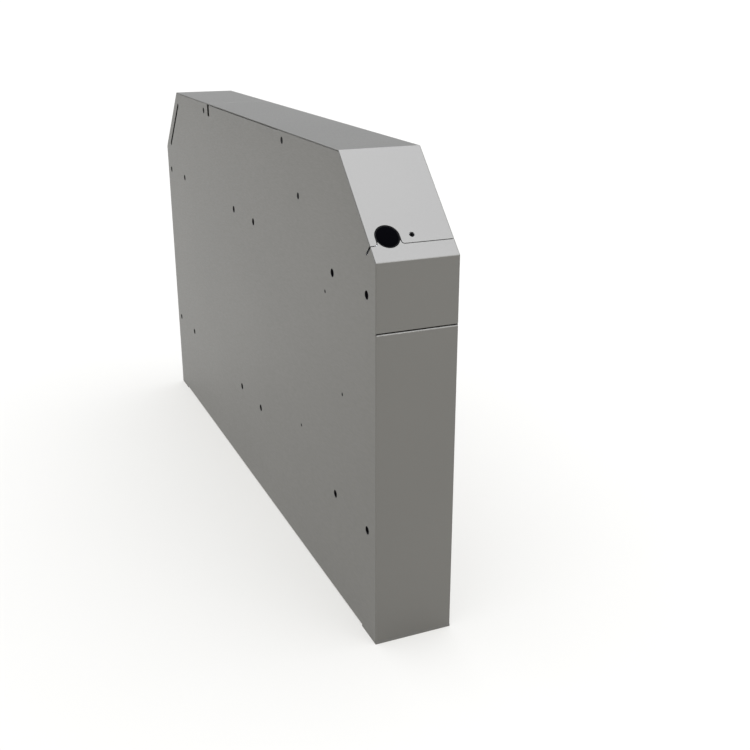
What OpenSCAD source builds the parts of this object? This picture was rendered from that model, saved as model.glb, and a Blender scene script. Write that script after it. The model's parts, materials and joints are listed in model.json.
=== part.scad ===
// Visitor counter turnstile: one free-standing barrier-free lane cabinet in folded sheet steel.
// Origin: centre of the footprint, on the floor. +X to the plain side, +Y to the rear end, +Z up.
// "From the front" means measured along +Y from the front face of the cabinet.

/* [Cabinet] */
// Width over the side sheets
cab_w = 174; // [150:1:240]
// Length over the end covers
cab_l = 1720; // [1400:5:2200]
// Height of the flat top above the floor
cab_h = 1000; // [900:5:1250]
// Drop and run of the 45 degree sloped ends
chamfer = 181; // [150:1:210]
// Thickness of the outer sheet steel
sheet_t = 1.5; // [1:0.1:2]
// Height of the seam between the lower and upper end covers
end_seam_z = 683; // [600:1:700]
// Width of a seam between two sheets
seam_w = 1.5; // [1:0.1:3]

/* [Floor plates] */
// Length of each floor plate along the cabinet
foot_l = 75; // [60:1:110]
// Thickness of each floor plate
foot_t = 5; // [4:0.5:8]
// Distance between the two anchor holes across one plate
anchor_span = 100; // [80:1:110]
// Diameter of an anchor hole
anchor_d = 14; // [10:0.5:18]

/* [Service lid] */
// Length of the fixed top between the lid joint and the rear slope
hood_top_l = 371; // [300:1:420]
// Distance of the lid's front seam up the slope from the front fold
lid_seam_s = 36.5; // [30:0.5:42]
// Gap under the lid edge along the side sheets
lid_gap = 0.5; // [0.4:0.1:2]
// Gap of the vent under the left lid edge
vent_gap = 1.3; // [1:0.1:5]
// Start of the vent, from the front
vent_start = 556; // [400:1:700]
// Hinge pin diameter
hinge_pin_d = 4; // [3:0.5:4]
// Depth of the hinge axis below the top surface
hinge_drop = 5; // [5:0.1:6]
// Distance of the hinge axis in front of the lid's rear edge
hinge_inset = 9; // [8:0.5:12]
// Width of the relief slit beside the lid hinge
slit_w = 18.5; // [12:0.5:20]
// Depth of the relief slit below the top
slit_d = 34; // [20:1:45]
// Width of the short slit in the side sheets at the slope seam
seam_slit_w = 5.5; // [3:0.5:7]

/* [Sensors] */
// Diameter of a sensor opening in the side sheet
sensor_d = 18; // [12:0.5:20]
// Distance of the outer sensors from the cabinet ends
sensor_end = 44.5; // [42:0.5:60]
// Distance from an outer sensor to the next one
sensor_pitch = 180; // [120:1:240]
// Distance between the two middle sensors
sensor_mid_gap = 175; // [100:1:240]
// Height of the lower sensor row
sensor_low_z = 248; // [200:1:260]
// Height of the upper sensor row
sensor_high_z = 748; // [745:1:760]
// Diameter of a sensor body behind the sheet
sensor_body_d = 22; // [18:0.5:24]

/* [Sloped reader] */
// Diameter of the round reader opening
reader_d = 50; // [36:1:54]
// Sideways position of the reader
reader_x = -47; // [-50:1:-44]
// Distance of the reader centre up the slope from the front fold
reader_s = 54.3; // [50:0.1:58]
// Sideways position of the lid lock
lock_x = 3.2; // [0:0.1:20]
// Diameter of the lock opening in the lid
lock_d = 11; // [8:0.5:12]

/* [Status light] */
// Overall length of the light slot beside the rear slope
light_l = 196; // [120:1:200]
// Width of the light slot
light_w = 11.2; // [6:0.1:12]
// Distance of the slot's centre line from the rear slope
light_inset = 35; // [30:1:45]
// Distance of the slot's centre up the slope from the rear fold
light_mid_s = 146; // [130:1:150]

/* [Side fittings] */
// Diameter of the two blanking plugs near the top
plug_d = 16; // [8:0.5:17]
// Height of the blanking plugs
plug_z = 977; // [960:1:977]
// Diameter of the beeper opening
beeper_d = 15; // [8:0.5:16]
// Diameter of a side screw head
screw_head_d = 8; // [5:0.5:8]

/* [Hidden] */
$fn = 48;

satin = [0.55, 0.55, 0.53];
inner_steel = [0.66, 0.68, 0.70];
black = [0.03, 0.03, 0.035];
smoked = [0.05, 0.05, 0.07];
rubber = [0.08, 0.08, 0.08];
zinc = [0.72, 0.73, 0.74];
pcb_green = [0.05, 0.30, 0.16];
brass = [0.78, 0.60, 0.25];

eps = 0.1;
touch = 0.4;               // clearance between pieces that move past each other
run_gap = 0.05;            // radial clearance of a pin in its hole
tan_half = tan(22.5);      // corner offset of a 45 degree fold
inner_x = cab_w/2 - sheet_t;
fold_z = cab_h - chamfer;
under_z = cab_h - sheet_t;
hood_front = cab_l - chamfer - hood_top_l;
lid_rear = hood_front - 2;
slit_y = hood_front - 6;
hinge_y = lid_rear - hinge_inset;
hinge_z = cab_h - hinge_drop;
slope_l = chamfer*sqrt(2);
skin_z = foot_t;

sensor_y = [sensor_end, sensor_end + sensor_pitch, cab_l/2 - sensor_mid_gap/2,
    cab_l/2 + sensor_mid_gap/2, cab_l - sensor_end - sensor_pitch, cab_l - sensor_end];
plug_y = [526, hood_front + 44];
beeper_y = 425;
beeper_z = 871;

post_w = 20;
post_front = 6;
post_top = fold_z - 5;
rail_w = 20;
rail_h = 20;
tube_t = 2;
cross_y = [foot_l + 10, 440, hood_front + 12, cab_l - foot_l - 10 - rail_w];

lip = post_front - touch;  // depth of the folded edges of the end covers
channel_half = 24;
channel_depth = 25;
lens_r = sensor_d/2 - 0.2;
lens_recess = 0.2;         // set-back of the dark windows behind the sheet
body_l = 42;
nut_t = 5;

plate_x = -30;             // mid plane of the equipment plate
plate_t = 2;
plate_face = plate_x + plate_t/2;
plate_screw = [[268, 698], [176, 500], [443, 327]];
board_gap = 10;
board_t = 1.6;
board_y = 192;
board_z = 540;
board_w = 160;
board_h = 110;
supply_y = 196;
supply_z = 345;
supply_w = 98;
supply_h = 129;
supply_d = 30;
din_y = 318;
din_z = 420;
din_l = 142;
din_top = plate_face + 7.5;
breaker_y = din_y + 12;
breaker_w = 17.5;
toggle_x = din_top + 59.5;
toggle_r = 7;
terminal_w = 8;
terminal_n = 9;
terminal_y = breaker_y + breaker_w + 8;

strike_n = sheet_t;        // depth of the striker plate's upper face
strike_s0 = 18;
strike_s1 = 43;
strike_t = 2;
strike_x = inner_x - 8;    // half width of the striker plate, clear of the side slits
lock_depth = 14;
cam_l = 26;
cam_t = 2.5;
bracket_n = 36;

prop_x = 62;
prop_y = hinge_y - 320;
prop_z = under_z - 7.5;
prop_r = 3;
prop_l = 300;

// Places its children by their distance from the front of the cabinet
module from_front(y) {
    translate([0, y - cab_l/2, 0]) children();
}

// Extrudes a (y, z) outline across the cabinet, from x0 to x1, y from the front
module across(x0, x1) {
    translate([x0, -cab_l/2, 0]) rotate([90, 0, 90]) linear_extrude(x1 - x0) children();
}

// Front slope frame: x across, y up the slope from the fold, z out of the sheet
module front_slope() {
    translate([0, -cab_l/2, fold_z]) rotate([45, 0, 0]) children();
}

// Rear slope frame: x across, y down the slope from the fold, z out of the sheet
module rear_slope() {
    translate([0, cab_l/2, fold_z]) rotate([-45, 0, 0]) children();
}

// A box from one corner to the opposite one, with y from the front
module span(x0, x1, y0, y1, z0, z1) {
    translate([x0, y0 - cab_l/2, z0]) cube([x1 - x0, y1 - y0, z1 - z0]);
}

// A cylinder along +X from x0 to x1, with y from the front
module rod_x(x0, x1, y, z, r) {
    translate([x0, y - cab_l/2, z]) rotate([0, 90, 0]) cylinder(r = r, h = x1 - x0);
}

// Mirrors its children to the other end of the cabinet
module both_ends() {
    children();
    mirror([0, 1, 0]) children();
}

// Point at depth d under the front slope, at distance s up from the fold
function under_slope(s, d) = [(s + d)/sqrt(2), fold_z + (s - d)/sqrt(2)];

module floor_plate() {
    difference() {
        span(-cab_w/2, cab_w/2, 0, foot_l, 0, foot_t);
        for (x = [-anchor_span/2, anchor_span/2])
            translate([x, foot_l/2 - cab_l/2, -eps]) cylinder(d = anchor_d, h = foot_t + 2*eps);
    }
}

module floor_plates() {
    color(satin) both_ends() floor_plate();
}

module base_frame() {
    z0 = foot_t;
    color(inner_steel) union() {
        for (m = [0, 1]) mirror([m, 0, 0]) difference() {
            span(inner_x - rail_w, inner_x, 5, cab_l - 5, z0, z0 + rail_h);
            span(inner_x - rail_w + tube_t, inner_x - tube_t, 5 - eps, cab_l - 5 + eps,
                z0 + tube_t, z0 + rail_h - tube_t);
        }
        for (y = cross_y)
            span(rail_w - inner_x - 1, inner_x - rail_w + 1, y, y + rail_w, z0 + 4, z0 + rail_h);
    }
}

module corner_post() {
    z0 = foot_t + rail_h;
    difference() {
        span(inner_x - post_w, inner_x, post_front, post_front + post_w, z0, post_top);
        span(inner_x - post_w + tube_t, inner_x - tube_t, post_front + tube_t,
            post_front + post_w - tube_t, z0 - eps, post_top + eps);
    }
}

module corner_posts() {
    color(inner_steel) both_ends() for (m = [0, 1]) mirror([m, 0, 0]) corner_post();
}

// Outline of a side sheet, inside the covers that wrap over its edges
module skin_outline(edge_gap) {
    d = sheet_t;
    e = sheet_t + edge_gap;
    polygon([[d, skin_z], [d, fold_z - d*tan_half], under_slope(lid_seam_s, d),
        under_slope(lid_seam_s, e), [chamfer + e*tan_half, cab_h - e], [slit_y, cab_h - e],
        [slit_y, cab_h - d], [cab_l - chamfer - d*tan_half, cab_h - d],
        [cab_l - d, fold_z - d*tan_half], [cab_l - d, skin_z]]);
}

module lid_relief_slits() {
    span(-cab_w, cab_w, slit_y - slit_w/2, slit_y + slit_w/2, cab_h - slit_d, cab_h + eps);
    front_slope() translate([-cab_w, lid_seam_s - seam_slit_w/2, -28])
        cube([2*cab_w, seam_slit_w, 30]);
}

module light_slot(x0, x1, len, wid) {
    rear_slope() translate([x0, -light_mid_s, -light_inset]) {
        translate([0, wid/2 - len/2, -wid/2]) cube([x1 - x0, len - wid, wid]);
        for (y = [wid/2 - len/2, len/2 - wid/2])
            translate([0, y, 0]) rotate([0, 90, 0]) cylinder(d = wid, h = x1 - x0);
    }
}

module left_side_skin() {
    x0 = -cab_w/2;
    x1 = -inner_x;
    color(satin) difference() {
        across(x0, x1) skin_outline(lid_gap);
        intersection() {
            lid_relief_slits();
            span(x0 - 1, x1 + 1, 0, cab_l, 0, cab_h + 1);
        }
        span(x0 - 1, x1 + 1, vent_start, slit_y, under_z - vent_gap, cab_h);
        for (y = sensor_y, z = [sensor_low_z, sensor_high_z])
            rod_x(x0 - 1, x1 + 1, y, z, sensor_d/2);
        for (y = plug_y) rod_x(x0 - 1, x1 + 1, y, plug_z, plug_d/2);
        rod_x(x0 - 1, x1 + 1, beeper_y, beeper_z, beeper_d/2);
        for (p = plate_screw) rod_x(x0 - 1, x1 + 1, p[0], p[1], screw_head_d/2);
        light_slot(x0 - 1, x1 + 1, light_l, light_w);
    }
}

module right_side_skin() {
    color(satin) difference() {
        across(inner_x, cab_w/2) skin_outline(lid_gap);
        intersection() {
            lid_relief_slits();
            span(inner_x - 1, cab_w/2 + 1, 0, cab_l, 0, cab_h + 1);
        }
    }
}

// A lower end cover: a flat plate over the side sheets, with folded lips inside
module end_lower_cover() {
    lip_x = inner_x - touch;
    z0 = foot_t + 0.3;
    union() {
        span(-cab_w/2, cab_w/2, 0, sheet_t, z0, end_seam_z - seam_w);
        span(-lip_x, lip_x, 0, lip, end_seam_z - seam_w - sheet_t, end_seam_z - seam_w);
        for (m = [0, 1]) mirror([m, 0, 0])
            span(lip_x - sheet_t, lip_x, 0, lip, foot_t + rail_h + 5,
                end_seam_z - seam_w);
    }
}

module front_lower_cover() {
    color(satin) end_lower_cover();
}

module rear_lower_cover() {
    color(satin) mirror([0, 1, 0]) end_lower_cover();
}

// Clips that hold the lips of the lower covers to the corner posts
module cover_clips() {
    color(zinc) both_ends() for (m = [0, 1], z = [120, 560]) mirror([m, 0, 0])
        span(inner_x - post_w - 3, inner_x - post_w, sheet_t, post_front + 12, z, z + 30);
}

// The fixed part of the front slope, with the tongue that carries the reader
module strip_outline() {
    s1 = lid_seam_s - seam_w/2;
    side = reader_d/2 + 0.5 - seam_w;
    r = 5;
    difference() {
        union() {
            translate([-cab_w, -10]) square([2*cab_w, s1 + 10]);
            translate([reader_x - side, s1 - 1]) square([2*side, reader_s - 10.3 - s1 + 1]);
            for (m = [-1, 1]) translate([reader_x + m*(side + (r + seam_w)/2), s1 + 2])
                square([r + seam_w, 6], center = true);
        }
        for (m = [-1, 1])
            translate([reader_x + m*(side + r + seam_w), s1 + r + seam_w]) circle(r = r + seam_w);
        translate([reader_x, reader_s]) circle(d = reader_d);
    }
}

// Bottom lip of the upper front cover, between the side sheets
module upper_lip() {
    lip_x = inner_x - touch;
    span(-lip_x, lip_x, 0, lip, end_seam_z, end_seam_z + sheet_t);
}

module front_upper_cover() {
    color(satin) union() {
        upper_lip();
        intersection() {
            across(-cab_w/2, cab_w/2) polygon([[0, end_seam_z], [0, fold_z],
                under_slope(reader_s, 0), under_slope(reader_s, sheet_t),
                [sheet_t, fold_z - sheet_t*tan_half], [sheet_t, end_seam_z]]);
            union() {
                front_slope() translate([0, 0, -5]) linear_extrude(10) strip_outline();
                span(-cab_w, cab_w, -1, chamfer, 0, fold_z);
            }
        }
    }
}

module rear_hood() {
    d = sheet_t;
    color(satin) union() {
        mirror([0, 1, 0]) upper_lip();
        across(-cab_w/2, cab_w/2) polygon([[hood_front, cab_h], [cab_l - chamfer, cab_h],
            [cab_l, fold_z], [cab_l, end_seam_z], [cab_l - d, end_seam_z],
            [cab_l - d, fold_z - d*tan_half], [cab_l - chamfer - d*tan_half, cab_h - d],
            [hood_front, cab_h - d]]);
    }
}

// Joggled cross plate behind the slope seam, with the flange that the lock cam catches
module strike_plate() {
    n0 = strike_n;
    n1 = strike_n + 1;
    s2 = lid_seam_s - 2;
    flange_s = 31;
    color(inner_steel) difference() {
        across(-strike_x, strike_x) polygon([under_slope(strike_s0, n0), under_slope(s2, n0),
            under_slope(s2 + 1, n1), under_slope(strike_s1, n1),
            under_slope(strike_s1, n1 + strike_t), under_slope(flange_s + 2, n1 + strike_t),
            under_slope(flange_s + 2, lock_depth - 0.1), under_slope(flange_s, lock_depth - 0.1),
            under_slope(flange_s, n0 + strike_t), under_slope(strike_s0, n0 + strike_t)]);
        front_slope() translate([reader_x, reader_s, -20]) cylinder(d = reader_d + 8, h = 25);
    }
}

module lid_gaskets() {
    n1 = strike_n + 1;
    reader_clear = reader_d/2 + 5;
    color(rubber) union() {
        front_slope() for (x = [[-strike_x, reader_x - reader_clear],
                [reader_x + reader_clear, strike_x]])
            translate([x[0], lid_seam_s + 1, -n1]) cube([x[1] - x[0], 4.5, 0.6]);
        span(-inner_x + 3, -inner_x + 11, chamfer + 14, vent_start - 2, under_z - 2,
            under_z - 2 + 1.4);
        span(inner_x - 11, inner_x - 3, chamfer + 14, hinge_y - 42, under_z - 2,
            under_z - 2 + 1.4);
    }
}

// Folded angles under the lid edges
module lid_rails() {
    top = under_z - 2;
    color(inner_steel) for (r = [[1, hinge_y - 40], [-1, vent_start]]) {
        x_wall = r[0]*(inner_x - 1);
        x_ledge = r[0]*(inner_x - 7.5);
        translate([x_wall, (chamfer + 12 + r[1])/2 - cab_l/2, top - 5])
            cube([2, r[1] - chamfer - 12, 10], center = true);
        translate([x_ledge, (chamfer + 12 + r[1])/2 - cab_l/2, top - 1])
            cube([15, r[1] - chamfer - 12, 2], center = true);
    }
}

module hinge_rail() {
    color(inner_steel) span(-inner_x, inner_x, hinge_y - 32, hinge_y - 12, hinge_z - 35,
        hinge_z - 15);
}

ear_x = [-70, -30, 30, 70];
ear_w = 6;
knuckle_r = hinge_drop - sheet_t - 0.3;

// Fixed hinge ears standing on the hinge rail
module hinge_ears() {
    y = hinge_y;
    z = hinge_z;
    r = knuckle_r;
    color(inner_steel) for (x = ear_x) difference() {
        union() {
            rod_x(x - ear_w/2, x + ear_w/2, y, z, r);
            across(x - ear_w/2, x + ear_w/2) polygon([[y - 30, z - 15], [y - 14, z - 15],
                [y + r*cos(30), z - r*sin(30)], [y - r*cos(60), z + r*sin(60)]]);
        }
        rod_x(x - ear_w, x + ear_w, y, z, hinge_pin_d/2 + run_gap);
    }
}

module hinge_pin() {
    color(zinc) rod_x(-inner_x + 2, inner_x - 2, hinge_y, hinge_z, hinge_pin_d/2);
}

// Open channel that holds one row of sensors against the side sheet
module sensor_channel(z) {
    x0 = -inner_x;
    x1 = x0 + channel_depth;
    y0 = post_front + post_w + 4;
    y1 = cab_l - y0;
    difference() {
        span(x0, x1, y0, y1, z - channel_half, z + channel_half);
        span(x0 - 1, x1 - tube_t, y0 - 1, y1 + 1, z - channel_half + tube_t,
            z + channel_half - tube_t);
        for (y = sensor_y) rod_x(x0, x1 + 1, y, z, sensor_body_d/2 + 0.2);
    }
}

module upper_sensor_channel() {
    color(inner_steel) sensor_channel(sensor_high_z);
}

module lower_sensor_channel() {
    color(inner_steel) sensor_channel(sensor_low_z);
}

// One row of beam sensor bodies, with a socket for the lens and a cable boot
module sensor_bodies(z) {
    x0 = -inner_x + 0.2;
    for (y = sensor_y) difference() {
        union() {
            rod_x(x0, x0 + body_l, y, z, sensor_body_d/2);
            rod_x(x0 + body_l - 1, x0 + body_l + 9, y, z, 5);
        }
        rod_x(x0 - 1, x0 + 3.5, y, z, lens_r + run_gap);
    }
}

module upper_sensor_bodies() {
    color(black) sensor_bodies(sensor_high_z);
}

module lower_sensor_bodies() {
    color(black) sensor_bodies(sensor_low_z);
}

module sensor_lenses() {
    x0 = -cab_w/2 + lens_recess;
    color(smoked) for (y = sensor_y, z = [sensor_low_z, sensor_high_z])
        rod_x(x0, -inner_x + 3.7, y, z, lens_r);
}

module sensor_locknuts() {
    x0 = -inner_x + channel_depth;
    color(zinc) for (y = sensor_y, z = [sensor_low_z, sensor_high_z]) difference() {
        translate([x0, y - cab_l/2, z]) rotate([0, 90, 0])
            cylinder(r = sensor_body_d/2 + 4.5, h = nut_t, $fn = 6);
        rod_x(x0 - 1, x0 + nut_t + 1, y, z, sensor_body_d/2 + run_gap);
    }
}

module blanking_plugs() {
    color(black) for (y = plug_y) difference() {
        rod_x(-cab_w/2 + lens_recess, -inner_x + 5, y, plug_z, plug_d/2 - run_gap);
        rod_x(-cab_w/2 + 2.5, -inner_x + 6, y, plug_z, plug_d/2 - 1.5);
    }
}

module beeper() {
    x0 = -cab_w/2 + lens_recess;
    color(black) difference() {
        union() {
            rod_x(x0, -inner_x + 1, beeper_y, beeper_z, beeper_d/2 - run_gap);
            rod_x(-inner_x, -inner_x + 14, beeper_y, beeper_z, beeper_d/2 + 4);
        }
        rod_x(x0 - 1, x0 + 5, beeper_y, beeper_z, 1.5);
    }
}

// Countersunk screws that hold the plate spacers to the side sheet
module side_screws() {
    x0 = -cab_w/2 + lens_recess;
    color(black) for (p = plate_screw) difference() {
        union() {
            rod_x(x0, -inner_x, p[0], p[1], screw_head_d/2 - run_gap);
            rod_x(-inner_x - eps, -inner_x + 8, p[0], p[1], 1.5);
        }
        translate([x0 - eps, p[0] - cab_l/2, p[1]]) rotate([0, 90, 0])
            cylinder(r = 1.2, h = 1 + eps, $fn = 6);
    }
}

module plate_spacers() {
    x1 = plate_face - plate_t;
    color(zinc) for (p = plate_screw) difference() {
        translate([-inner_x, p[0] - cab_l/2, p[1]]) rotate([0, 90, 0])
            cylinder(r = 5, h = x1 + inner_x, $fn = 6);
        rod_x(-inner_x - 1, -inner_x + 9, p[0], p[1], 1.5 + run_gap);
        rod_x(x1 - 9, x1 + 1, p[0], p[1], 1.5 + run_gap);
    }
}

module plate_screws() {
    color(zinc) for (p = plate_screw) union() {
        rod_x(plate_face - plate_t - 8, plate_face + 1, p[0], p[1], 1.5);
        rod_x(plate_face, plate_face + 2.4, p[0], p[1], 3);
    }
}

module equipment_plate() {
    ys = [for (p = plate_screw) p[0]];
    zs = [for (p = plate_screw) p[1]];
    color(inner_steel) difference() {
        span(plate_face - plate_t, plate_face, min(ys) - 17, max(ys) + 22, min(zs) - 17,
            max(zs) + 17);
        for (p = plate_screw) rod_x(plate_face - 9, plate_face + 9, p[0], p[1], 1.5 + run_gap);
    }
}

board_hole = [for (y = [6, board_w - 6], z = [6, board_h - 6]) [board_y + y, board_z + z]];

module board_spacers() {
    color(zinc) for (p = board_hole)
        translate([plate_face, p[0] - cab_l/2, p[1]]) rotate([0, 90, 0])
            cylinder(r = 3, h = board_gap, $fn = 6);
}

module controller_board() {
    x0 = plate_face + board_gap;
    color(pcb_green) span(x0, x0 + board_t, board_y, board_y + board_w, board_z,
        board_z + board_h);
}

module board_components() {
    x0 = plate_face + board_gap + board_t;
    y = board_y;
    z = board_z;
    color(black) union() {
        for (i = [0:3]) span(x0, x0 + 15.5, y + 16 + i*21, y + 35 + i*21, z + 14, z + 29);
        span(x0, x0 + 1.8, y + 60, y + 76, z + 48, z + 64);
        span(x0, x0 + 2.5, y + 100, y + 108, z + 46, z + 66);
        for (i = [0:1]) rod_x(x0, x0 + 20, y + 26 + i*14, z + 56, 5);
        for (i = [0:9]) span(x0, x0 + 10, y + 20 + i*12, y + 30 + i*12, z + 92, z + 102);
        span(x0, x0 + 13, y + 132, y + 148, z + 40, z + 61);
    }
}

module power_supply() {
    x0 = plate_face;
    color(zinc) difference() {
        span(x0, x0 + supply_d, supply_y, supply_y + supply_w, supply_z, supply_z + supply_h);
        for (i = [0:6], j = [0:5])
            rod_x(x0 + supply_d - 1.2, x0 + supply_d + 1, supply_y + 16 + i*11,
                supply_z + 60 + j*11, 2.5);
        span(x0 + 8, x0 + supply_d + 1, supply_y + 4, supply_y + supply_w - 4,
            supply_z - 1, supply_z + 16);
    }
}

module power_supply_terminals() {
    x0 = plate_face + 8;
    color(black) for (i = [0:6]) difference() {
        span(x0, x0 + 15, supply_y + 11.5 + i*11, supply_y + 21 + i*11, supply_z + 2,
            supply_z + 16);
        rod_x(x0 + 11, x0 + 16, supply_y + 16.2 + i*11, supply_z + 9, 3);
    }
}

module din_rail() {
    x0 = plate_face;
    color(zinc) translate([0, din_y - cab_l/2, din_z]) rotate([-90, 0, 0]) linear_extrude(din_l)
        polygon([[x0, -13.5], [din_top - 1, -13.5], [din_top - 1, -17.5], [din_top, -17.5],
            [din_top, -12.5], [x0 + 1, -12.5], [x0 + 1, 12.5], [din_top, 12.5],
            [din_top, 17.5], [din_top - 1, 17.5], [din_top - 1, 13.5], [x0, 13.5]]);
}

module terminal_blocks() {
    color([0.62, 0.63, 0.62]) for (i = [0:terminal_n - 1]) difference() {
        y = terminal_y + i*(terminal_w + 0.3);
        union() {
            span(din_top, din_top + 26, y, y + terminal_w, din_z - 26, din_z + 26);
            span(din_top + 25, din_top + 38, y, y + terminal_w, din_z - 15, din_z + 15);
        }
        for (m = [-1, 1]) rod_x(din_top + 18, din_top + 27, y + terminal_w/2, din_z + m*20, 2.6);
    }
}

module circuit_breaker() {
    y = breaker_y;
    color([0.80, 0.80, 0.79]) difference() {
        union() {
            span(din_top, din_top + 44, y, y + breaker_w, din_z - 40, din_z + 40);
            span(din_top + 43, toggle_x + 2, y, y + breaker_w, din_z - 22.5, din_z + 22.5);
        }
        translate([toggle_x, y + breaker_w/2 - 6 - cab_l/2, din_z]) rotate([-90, 0, 0])
            cylinder(r = toggle_r + touch, h = 12);
        translate([toggle_x, y + 0.6 - cab_l/2, din_z]) rotate([-90, 0, 0])
            cylinder(r = 1.5 + run_gap, h = breaker_w - 1.2);
        for (m = [-1, 1]) rod_x(din_top + 34, din_top + 45, y + breaker_w/2, din_z + m*31, 3);
    }
}

module breaker_toggle() {
    y = breaker_y + breaker_w/2 - cab_l/2;
    color(black) translate([toggle_x, y, din_z]) union() {
        rotate([90, 0, 0]) cylinder(r = toggle_r, h = 11.2, center = true);
        rotate([90, 0, 0]) cylinder(r = 1.5, h = breaker_w - 2, center = true);
        rotate([0, -30, 0]) translate([2, -4.5, -2]) cube([16, 9, 4]);
    }
}

module reader_window() {
    color(smoked) front_slope() translate([reader_x, reader_s, -4.1])
        cylinder(r = reader_d/2 - touch, h = 4.1 - lens_recess);
}

module reader_housing() {
    h = bracket_n - 2 - 4.1;
    color(black) front_slope() translate([reader_x, reader_s, -bracket_n + 2]) difference() {
        cylinder(r = reader_d/2 - touch, h = h);
        translate([0, 0, 4]) cylinder(r = reader_d/2 - 3, h = h);
    }
}

module reader_board() {
    color(pcb_green) front_slope() translate([reader_x, reader_s, -bracket_n + 6])
        cylinder(r = reader_d/2 - 3 - touch, h = 1.6);
}

// Cross bracket under the slope that carries the reader
module reader_bracket() {
    color(inner_steel) front_slope() difference() {
        union() {
            translate([-inner_x, reader_s - 36, -bracket_n]) cube([2*inner_x, 72, 2]);
            for (m = [0, 1]) mirror([m, 0, 0])
                translate([inner_x - 2, reader_s - 36, -bracket_n - 12]) cube([2, 72, 14]);
        }
        translate([lock_x, reader_s, -bracket_n - 1]) cylinder(r = 14, h = 4);
    }
}

module status_diffuser() {
    color(smoked) union() {
        light_slot(-cab_w/2 + lens_recess, -inner_x + 0.5, light_l - 0.6, light_w - 0.6);
        light_slot(-inner_x, -inner_x + 2, light_l + 8, light_w + 8);
    }
}

module status_light_board() {
    color(pcb_green) rear_slope() translate([-inner_x + 12.8, -light_mid_s - light_l/2, -light_inset])
        translate([0, 0, -6]) cube([1.6, light_l, 12]);
}

module status_light_housing() {
    w = light_w + 9;
    color(inner_steel) rear_slope() translate([-inner_x, -light_mid_s, -light_inset]) difference() {
        translate([2, -light_l/2 - 6, -w/2]) cube([14, light_l + 12, w]);
        translate([2 - eps, -light_l/2 - 4.5, 1.5 - w/2]) cube([12.5, light_l + 9, w - 3]);
    }
}

gland_y = hood_front + 12 + rail_w + 50;
gland_x = 25;
gland_r = 5;

module gland_plate() {
    z0 = foot_t + 4;
    color(inner_steel) difference() {
        span(rail_w - inner_x, inner_x - rail_w, gland_y - 48, gland_y + 48, z0, z0 + 3);
        for (m = [-1, 1]) translate([m*gland_x, gland_y - cab_l/2, z0 - 1])
            cylinder(r = 10 + run_gap, h = 5);
    }
}

module cable_glands() {
    z0 = foot_t + 4;
    color(black) for (m = [-1, 1]) translate([m*gland_x, gland_y - cab_l/2, 0]) difference() {
        union() {
            translate([0, 0, 2]) cylinder(r = 13, h = z0 - 2, $fn = 6);
            translate([0, 0, z0 - eps]) cylinder(r = 10, h = 14);
            translate([0, 0, z0 + 3]) cylinder(r = 13, h = 6, $fn = 6);
        }
        cylinder(r = gland_r, h = 40);
    }
}

module earth_stud() {
    y = 440;
    z = 560;
    color(brass) union() {
        rod_x(plate_face, plate_face + 22, y, z, 3);
        translate([plate_face, y - cab_l/2, z]) rotate([0, 90, 0]) cylinder(r = 6, h = 5, $fn = 6);
        rod_x(plate_face + 8, plate_face + 9.5, y, z, 7);
    }
}

// Opening of the lid round the reader: a round head, straight sides and rounded corners
module reader_notch() {
    side = reader_d/2 + 0.5;
    s0 = lid_seam_s + seam_w/2;
    r = 5;
    translate([reader_x, reader_s]) circle(r = side);
    translate([reader_x - side, s0 - 10]) square([2*side, reader_s - s0 + 10]);
    for (m = [-1, 1]) difference() {
        translate([reader_x + m*(side + r/2), s0 + r/2 - 5])
            square([r + eps, r + 10], center = true);
        translate([reader_x + m*(side + r), s0 + r]) circle(r = r);
    }
}

module service_lid() {
    s0 = lid_seam_s + seam_w/2;
    color(satin) difference() {
        across(-cab_w/2, cab_w/2) polygon([under_slope(s0, 0), [chamfer, cab_h],
            [lid_rear, cab_h], [lid_rear, under_z], [chamfer + sheet_t*tan_half, under_z],
            under_slope(s0, sheet_t)]);
        front_slope() translate([0, 0, -3]) linear_extrude(5) reader_notch();
        front_slope() translate([lock_x, reader_s, -3]) cylinder(d = lock_d, h = 5);
    }
}

module lid_stiffener() {
    d = 10;
    y0 = chamfer + 40;
    y1 = hinge_y - 38;
    color(inner_steel) translate([0, y1 - cab_l/2, under_z]) rotate([90, 0, 0])
        linear_extrude(y1 - y0)
        polygon([[-32, 0], [-18.8, 0], [-18.8, -d + 1.2], [18.8, -d + 1.2], [18.8, 0], [32, 0],
            [32, -1.2], [20, -1.2], [20, -d], [-20, -d], [-20, -1.2], [-32, -1.2]]);
}

// Knuckles under the lid, between the fixed ears
module lid_knuckles() {
    r = knuckle_r;
    gap = ear_w/2 + 0.5;
    color(inner_steel) for (i = [0:len(ear_x) - 2]) difference() {
        x0 = ear_x[i] + gap;
        x1 = ear_x[i + 1] - gap;
        union() {
            rod_x(x0, x1, hinge_y, hinge_z, r);
            span(x0, x1, hinge_y - r, hinge_y + r, hinge_z, under_z);
        }
        rod_x(x0 - 1, x1 + 1, hinge_y, hinge_z, hinge_pin_d/2 + run_gap);
    }
}

plug_r = lock_d/2 - 0.4;

module lock_housing() {
    color(zinc) front_slope() translate([lock_x, reader_s, -lock_depth]) difference() {
        cylinder(r = lock_d/2 + 4, h = lock_depth - sheet_t);
        translate([0, 0, -1]) cylinder(r = plug_r + run_gap, h = lock_depth + 2);
    }
}

// Turning insert of the lock, with a square socket in its face
module lock_plug() {
    color(black) front_slope() translate([lock_x, reader_s, 0]) difference() {
        union() {
            translate([0, 0, -lock_depth - 0.3]) cylinder(r = plug_r, h = lock_depth - 0.7);
            translate([0, 0, -lock_depth - 0.3 - cam_t]) cylinder(r = 3, h = cam_t + 1);
        }
        translate([-2.5, -2.5, -7]) cube([5, 5, 8]);
    }
}

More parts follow.
